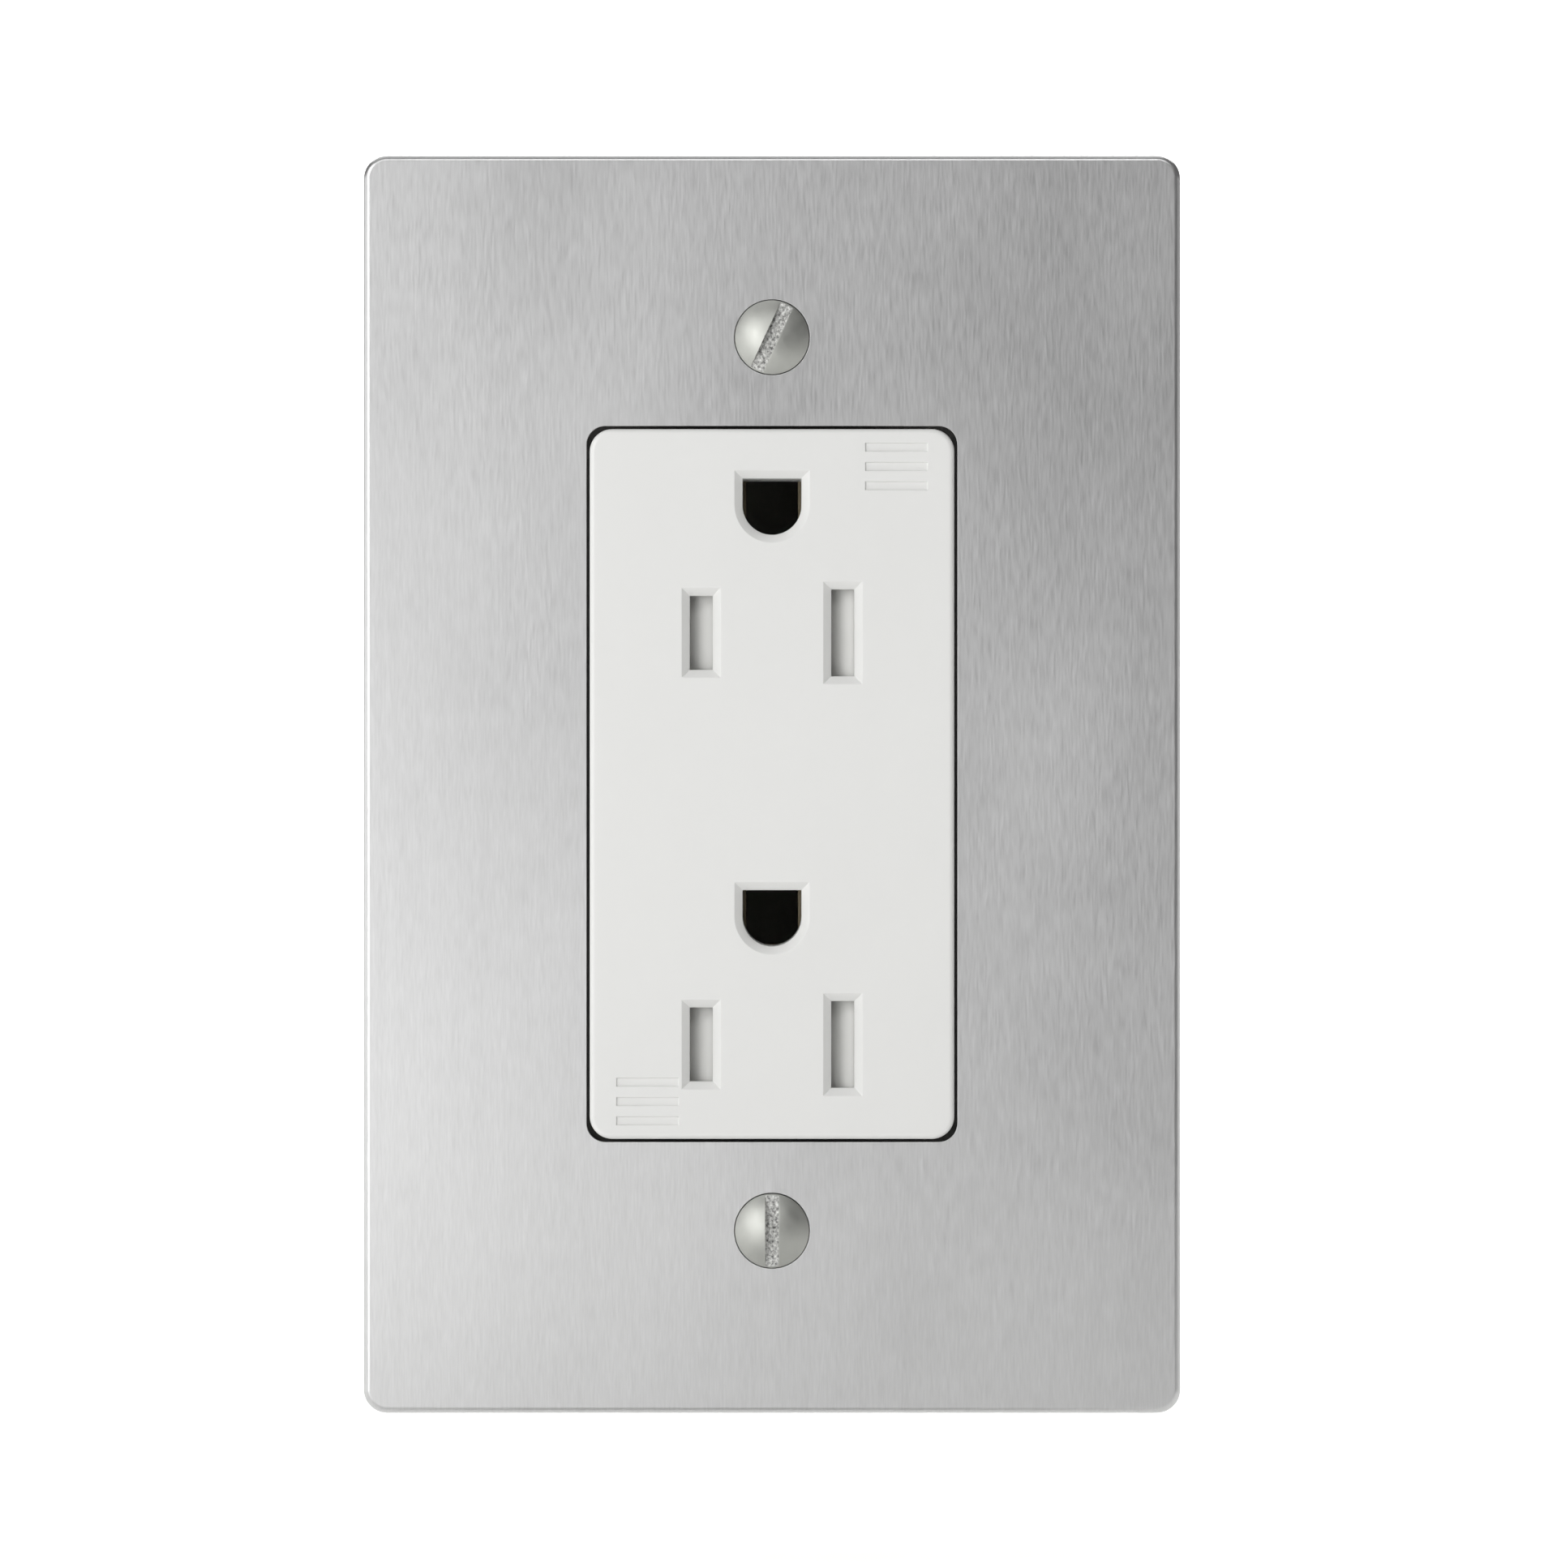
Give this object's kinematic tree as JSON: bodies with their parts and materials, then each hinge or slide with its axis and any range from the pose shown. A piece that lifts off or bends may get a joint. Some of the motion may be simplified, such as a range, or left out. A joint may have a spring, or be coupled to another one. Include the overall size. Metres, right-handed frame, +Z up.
{
  "type": "wall plate cover",
  "caption": "Rectangular brushed steel wall plate with a rectangular opening, fixed by slotted screws over a white grounded duplex receptacle with shuttered slots.",
  "frame": {"origin": "in the plane of the wall, midway between the two cover screws", "axes": "+Z up, +X to the right of a person facing the plate, +Y into the wall box, so the front faces -Y"},
  "size_m": [0.0762, 0.0324, 0.1174],
  "materials": {
    "brushed_stainless": "brushed along its height",
    "polished_screw_steel": "polished",
    "retainer_fibre": "vulcanised fibre, matt",
    "zinc_plated_strap": "zinc plated",
    "white_face_plastic": "moulded, satin",
    "shutter_plastic": "moulded, matt",
    "tray_plastic": "moulded, matt",
    "spring_steel": "drawn wire",
    "contact_brass": "stamped",
    "nickel_plated_contact": "stamped and plated",
    "zinc_plated_screw": "zinc plated",
    "zinc_plated_clamp": "zinc plated",
    "brass_screw": "bright",
    "nickel_plated_screw": "bright plated",
    "green_screw": "green dyed",
    "rear_nylon": "moulded, matt"
  },
  "bodies": {
    "device": {"mounting_strap": "zinc_plated_strap", "face_housing": "white_face_plastic", "rear_housing": "rear_nylon", "hot_bus": "contact_brass", "neutral_bus": "nickel_plated_contact", "earth_contact_bar": "contact_brass", "earth_rivets": "zinc_plated_screw", "shutter_tray_upper": "tray_plastic", "shutter_tray_lower": "tray_plastic", "shutter_spring_upper": "spring_steel", "shutter_spring_lower": "spring_steel", "screw_retainer_upper": "retainer_fibre", "screw_retainer_lower": "retainer_fibre", "case_screws": "zinc_plated_screw"},
    "cover": {"wall_plate": "brushed_stainless"},
    "upper_cover_screw": {"cover_screw_upper": "polished_screw_steel"},
    "lower_cover_screw": {"cover_screw_lower": "polished_screw_steel"},
    "upper_shutter": {"shutter_upper": "shutter_plastic"},
    "lower_shutter": {"shutter_lower": "shutter_plastic"},
    "upper_hot_clamp": {"hot_clamp_upper": "zinc_plated_clamp"},
    "upper_hot_terminal_screw": {"hot_screw_upper": "brass_screw"},
    "lower_hot_clamp": {"hot_clamp_lower": "zinc_plated_clamp"},
    "lower_hot_terminal_screw": {"hot_screw_lower": "brass_screw"},
    "upper_neutral_clamp": {"neutral_clamp_upper": "zinc_plated_clamp"},
    "upper_neutral_terminal_screw": {"neutral_screw_upper": "nickel_plated_screw"},
    "lower_neutral_clamp": {"neutral_clamp_lower": "zinc_plated_clamp"},
    "lower_neutral_terminal_screw": {"neutral_screw_lower": "nickel_plated_screw"},
    "earth_clamp": {"earth_clamp": "zinc_plated_clamp"},
    "earth_terminal_screw": {"earth_screw": "green_screw"}
  },
  "joints": [
    {"name": "cover_lift", "type": "slide", "parent": "device", "child": "cover", "axis": [0, -1, 0], "range_m": [0, 0.025]},
    {"name": "upper_cover_screw_turn", "type": "hinge", "parent": "cover", "child": "upper_cover_screw", "pos_m": [0, -0.0052, 0.04167], "axis": [0, -1, 0], "continuous": true},
    {"name": "lower_cover_screw_turn", "type": "hinge", "parent": "cover", "child": "lower_cover_screw", "pos_m": [0, -0.0052, -0.04167], "axis": [0, -1, 0], "continuous": true},
    {"name": "upper_shutter_slide", "type": "slide", "parent": "device", "child": "upper_shutter", "axis": [1, 0, 0], "range_m": [0, 0.0027], "stiffness_N_per_m": 150, "springref_m": -0.003, "deforming": ["shutter_spring_upper"]},
    {"name": "lower_shutter_slide", "type": "slide", "parent": "device", "child": "lower_shutter", "axis": [1, 0, 0], "range_m": [0, 0.0027], "stiffness_N_per_m": 150, "springref_m": -0.003, "deforming": ["shutter_spring_lower"]},
    {"name": "upper_hot_clamp_slide", "type": "slide", "parent": "device", "child": "upper_hot_clamp", "axis": [-1, 0, 0], "range_m": [0, 0.00238]},
    {"name": "upper_hot_terminal_screw_turn", "type": "hinge", "parent": "upper_hot_clamp", "child": "upper_hot_terminal_screw", "pos_m": [-0.0154, 0.0125, 0.0102], "axis": [-1, 0, 0], "range_deg": [0, 1080]},
    {"name": "lower_hot_clamp_slide", "type": "slide", "parent": "device", "child": "lower_hot_clamp", "axis": [-1, 0, 0], "range_m": [0, 0.00238]},
    {"name": "lower_hot_terminal_screw_turn", "type": "hinge", "parent": "lower_hot_clamp", "child": "lower_hot_terminal_screw", "pos_m": [-0.0154, 0.0125, -0.0102], "axis": [-1, 0, 0], "range_deg": [0, 1080]},
    {"name": "upper_neutral_clamp_slide", "type": "slide", "parent": "device", "child": "upper_neutral_clamp", "axis": [1, 0, 0], "range_m": [0, 0.00238]},
    {"name": "upper_neutral_terminal_screw_turn", "type": "hinge", "parent": "upper_neutral_clamp", "child": "upper_neutral_terminal_screw", "pos_m": [0.0154, 0.0125, 0.0102], "axis": [1, 0, 0], "range_deg": [0, 1080]},
    {"name": "lower_neutral_clamp_slide", "type": "slide", "parent": "device", "child": "lower_neutral_clamp", "axis": [1, 0, 0], "range_m": [0, 0.00238]},
    {"name": "lower_neutral_terminal_screw_turn", "type": "hinge", "parent": "lower_neutral_clamp", "child": "lower_neutral_terminal_screw", "pos_m": [0.0154, 0.0125, -0.0102], "axis": [1, 0, 0], "range_deg": [0, 1080]},
    {"name": "earth_clamp_slide", "type": "slide", "parent": "device", "child": "earth_clamp", "axis": [-1, 0, 0], "range_m": [0, 0.00238]},
    {"name": "earth_terminal_screw_turn", "type": "hinge", "parent": "earth_clamp", "child": "earth_terminal_screw", "pos_m": [-0.0154, 0.0047, -0.0404], "axis": [-1, 0, 0], "range_deg": [0, 1080]}
  ],
  "couplings": [
    {"joint": "upper_hot_terminal_screw_turn", "follows": "upper_hot_clamp_slide", "rad_per_m": 7915.8},
    {"joint": "lower_hot_terminal_screw_turn", "follows": "lower_hot_clamp_slide", "rad_per_m": 7915.8},
    {"joint": "upper_neutral_terminal_screw_turn", "follows": "upper_neutral_clamp_slide", "rad_per_m": 7915.8},
    {"joint": "lower_neutral_terminal_screw_turn", "follows": "lower_neutral_clamp_slide", "rad_per_m": 7915.8},
    {"joint": "earth_terminal_screw_turn", "follows": "earth_clamp_slide", "rad_per_m": 7915.8}
  ]
}
